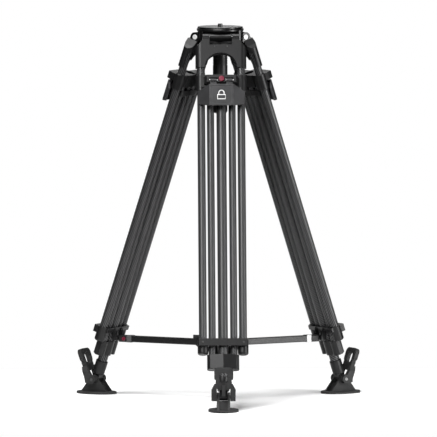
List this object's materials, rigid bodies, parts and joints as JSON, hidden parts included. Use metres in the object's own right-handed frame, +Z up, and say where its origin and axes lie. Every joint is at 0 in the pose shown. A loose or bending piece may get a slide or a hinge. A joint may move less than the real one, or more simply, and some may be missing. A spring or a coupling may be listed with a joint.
{
  "type": "video tripod",
  "caption": "Video tripod, legs collapsed, with a bowl crown and flat head seat, twin-tube carbon legs with lever locks, a mid-level spreader, a tie-down handle and rubber feet.",
  "frame": {"origin": "centre of the flat head seat, where the head screw stands out of it", "axes": "+Z up along the head screw, -Y towards the front leg, +X to the right"},
  "size_m": [0.5846, 0.5137, 0.772],
  "materials": {
    "black_casting": "satin",
    "turned_metal": "satin",
    "steel": "satin",
    "carbon_tube": "satin",
    "black_plastic": "matte",
    "grip_plastic": "matte",
    "red_plastic": "gloss",
    "foot_rubber": "matte"
  },
  "bodies": {
    "crown": {"crown_casting": "black_casting", "half_ball_adapter": "turned_metal", "head_stud": "steel", "clamp_washer": "black_casting", "leg_hinge_pins": "steel"},
    "tie_down": {"tie_down_handle": "grip_plastic"},
    "hub": {"spreader_hub": "black_plastic"},
    "front_leg": {"front_yoke": "black_casting", "front_outer_tubes": "carbon_tube", "front_bracket": "black_casting"},
    "front_mid_stage": {"front_lock_housing": "black_casting", "front_mid_tubes": "carbon_tube", "front_mid_block": "black_casting"},
    "front_lower_stage": {"front_centre_runner": "black_plastic", "front_centre_tube": "carbon_tube", "front_toe": "black_casting"},
    "front_lever": {"front_lock_lever": "black_casting"},
    "front_button": {"front_release_button": "red_plastic"},
    "front_foot": {"front_foot_pad": "foot_rubber", "front_foot_pin": "steel"},
    "front_strap": {"front_foot_strap": "foot_rubber"},
    "front_arm": {"front_spreader_arm": "black_casting", "front_spreader_clip": "black_plastic"},
    "front_arm_cap": {"front_spreader_button": "red_plastic"},
    "right_leg": {"right_yoke": "black_casting", "right_outer_tubes": "carbon_tube", "right_bracket": "black_casting"},
    "right_mid_stage": {"right_lock_housing": "black_casting", "right_mid_tubes": "carbon_tube", "right_mid_block": "black_casting"},
    "right_lower_stage": {"right_centre_runner": "black_plastic", "right_centre_tube": "carbon_tube", "right_toe": "black_casting"},
    "right_lever": {"right_lock_lever": "black_casting"},
    "right_button": {"right_release_button": "red_plastic"},
    "right_foot": {"right_foot_pad": "foot_rubber", "right_foot_pin": "steel"},
    "right_strap": {"right_foot_strap": "foot_rubber"},
    "right_arm": {"right_spreader_arm": "black_casting", "right_spreader_clip": "black_plastic"},
    "right_arm_cap": {"right_spreader_button": "red_plastic"},
    "left_leg": {"left_yoke": "black_casting", "left_outer_tubes": "carbon_tube", "left_bracket": "black_casting"},
    "left_mid_stage": {"left_lock_housing": "black_casting", "left_mid_tubes": "carbon_tube", "left_mid_block": "black_casting"},
    "left_lower_stage": {"left_centre_runner": "black_plastic", "left_centre_tube": "carbon_tube", "left_toe": "black_casting"},
    "left_lever": {"left_lock_lever": "black_casting"},
    "left_button": {"left_release_button": "red_plastic"},
    "left_foot": {"left_foot_pad": "foot_rubber", "left_foot_pin": "steel"},
    "left_strap": {"left_foot_strap": "foot_rubber"},
    "left_arm": {"left_spreader_arm": "black_casting", "left_spreader_clip": "black_plastic"},
    "left_arm_cap": {"left_spreader_button": "red_plastic"}
  },
  "joints": [
    {"name": "tie_down_turn", "type": "hinge", "parent": "crown", "child": "tie_down", "pos_m": [0, 0, -0.1], "axis": [0, 0, 1], "continuous": true},
    {"name": "front_leg_fold", "type": "hinge", "parent": "crown", "child": "front_leg", "pos_m": [0, -0.0393, -0.021], "axis": [1, 0, 0], "range_deg": [0, 14.5]},
    {"name": "front_mid_slide", "type": "slide", "parent": "front_leg", "child": "front_mid_stage", "axis": [0, -0.3272, -0.9449], "range_m": [0, 0.48]},
    {"name": "front_lower_slide", "type": "slide", "parent": "front_mid_stage", "child": "front_lower_stage", "axis": [0, -0.3272, -0.9449], "range_m": [0, 0.5]},
    {"name": "front_lever_turn", "type": "hinge", "parent": "front_mid_stage", "child": "front_lever", "pos_m": [0, -0.10255, -0.10299], "axis": [-1, 0, 0], "range_deg": [0, 55]},
    {"name": "front_button_push", "type": "slide", "parent": "front_mid_stage", "child": "front_button", "axis": [0, 0.9449, -0.3272], "range_m": [0, 0.0014], "stiffness_N_per_m": 300, "springref_m": -0.002},
    {"name": "front_foot_tilt", "type": "hinge", "parent": "front_lower_stage", "child": "front_foot", "pos_m": [0, -0.29, -0.736], "axis": [1, 0, 0], "range_deg": [-12, 30]},
    {"name": "front_strap_swing", "type": "hinge", "parent": "front_foot", "child": "front_strap", "pos_m": [0, -0.29, -0.736], "axis": [1, 0, 0], "range_deg": [0, 45]},
    {"name": "front_arm_fold", "type": "hinge", "parent": "front_leg", "child": "front_arm", "pos_m": [0, -0.23903, -0.64994], "axis": [1, 0, 0], "range_deg": [0, 69.6]},
    {"name": "front_cap_push", "type": "slide", "parent": "front_arm", "child": "front_arm_cap", "axis": [-1, 0, 0], "range_m": [0, 0.0018], "stiffness_N_per_m": 300, "springref_m": -0.002},
    {"name": "right_leg_fold", "type": "hinge", "parent": "crown", "child": "right_leg", "pos_m": [0.03403, 0.01965, -0.021], "axis": [-0.5, 0.866, 0], "range_deg": [0, 14.5]},
    {"name": "right_mid_slide", "type": "slide", "parent": "right_leg", "child": "right_mid_stage", "axis": [0.2834, 0.1636, -0.9449], "range_m": [0, 0.48]},
    {"name": "right_lower_slide", "type": "slide", "parent": "right_mid_stage", "child": "right_lower_stage", "axis": [0.2834, 0.1636, -0.9449], "range_m": [0, 0.5]},
    {"name": "right_lever_turn", "type": "hinge", "parent": "right_mid_stage", "child": "right_lever", "pos_m": [0.08881, 0.05127, -0.10299], "axis": [0.5, -0.866, 0], "range_deg": [0, 55]},
    {"name": "right_button_push", "type": "slide", "parent": "right_mid_stage", "child": "right_button", "axis": [-0.8183, -0.4725, -0.3272], "range_m": [0, 0.0014], "stiffness_N_per_m": 300, "springref_m": -0.002},
    {"name": "right_foot_tilt", "type": "hinge", "parent": "right_lower_stage", "child": "right_foot", "pos_m": [0.25115, 0.145, -0.736], "axis": [-0.5, 0.866, 0], "range_deg": [-12, 30]},
    {"name": "right_strap_swing", "type": "hinge", "parent": "right_foot", "child": "right_strap", "pos_m": [0.25115, 0.145, -0.736], "axis": [-0.5, 0.866, 0], "range_deg": [0, 45]},
    {"name": "right_arm_fold", "type": "hinge", "parent": "right_leg", "child": "right_arm", "pos_m": [0.20701, 0.11952, -0.64994], "axis": [-0.5, 0.866, 0], "range_deg": [0, 69.6]},
    {"name": "right_cap_push", "type": "slide", "parent": "right_arm", "child": "right_arm_cap", "axis": [0.5, -0.866, 0], "range_m": [0, 0.0018], "stiffness_N_per_m": 300, "springref_m": -0.002},
    {"name": "left_leg_fold", "type": "hinge", "parent": "crown", "child": "left_leg", "pos_m": [-0.03403, 0.01965, -0.021], "axis": [-0.5, -0.866, 0], "range_deg": [0, 14.5]},
    {"name": "left_mid_slide", "type": "slide", "parent": "left_leg", "child": "left_mid_stage", "axis": [-0.2834, 0.1636, -0.9449], "range_m": [0, 0.48]},
    {"name": "left_lower_slide", "type": "slide", "parent": "left_mid_stage", "child": "left_lower_stage", "axis": [-0.2834, 0.1636, -0.9449], "range_m": [0, 0.5]},
    {"name": "left_lever_turn", "type": "hinge", "parent": "left_mid_stage", "child": "left_lever", "pos_m": [-0.08881, 0.05127, -0.10299], "axis": [0.5, 0.866, 0], "range_deg": [0, 55]},
    {"name": "left_button_push", "type": "slide", "parent": "left_mid_stage", "child": "left_button", "axis": [0.8183, -0.4725, -0.3272], "range_m": [0, 0.0014], "stiffness_N_per_m": 300, "springref_m": -0.002},
    {"name": "left_foot_tilt", "type": "hinge", "parent": "left_lower_stage", "child": "left_foot", "pos_m": [-0.25115, 0.145, -0.736], "axis": [-0.5, -0.866, 0], "range_deg": [-12, 30]},
    {"name": "left_strap_swing", "type": "hinge", "parent": "left_foot", "child": "left_strap", "pos_m": [-0.25115, 0.145, -0.736], "axis": [-0.5, -0.866, 0], "range_deg": [0, 45]},
    {"name": "left_arm_fold", "type": "hinge", "parent": "left_leg", "child": "left_arm", "pos_m": [-0.20701, 0.11952, -0.64994], "axis": [-0.5, -0.866, 0], "range_deg": [0, 69.6]},
    {"name": "left_cap_push", "type": "slide", "parent": "left_arm", "child": "left_arm_cap", "axis": [0.5, 0.866, 0], "range_m": [0, 0.0018], "stiffness_N_per_m": 300, "springref_m": -0.002},
    {"name": "hub_rise", "type": "slide", "parent": "crown", "child": "hub", "axis": [0, 0, 1], "range_m": [0, 0.1585]}
  ],
  "couplings": [
    {"joint": "front_arm_fold", "follows": "front_leg_fold", "ratio": 4.7931},
    {"joint": "right_leg_fold", "follows": "front_leg_fold", "ratio": 1},
    {"joint": "right_arm_fold", "follows": "front_leg_fold", "ratio": 4.7931},
    {"joint": "left_leg_fold", "follows": "front_leg_fold", "ratio": 1},
    {"joint": "left_arm_fold", "follows": "front_leg_fold", "ratio": 4.7931},
    {"joint": "hub_rise", "follows": "front_leg_fold", "m_per_rad": 0.62433}
  ]
}
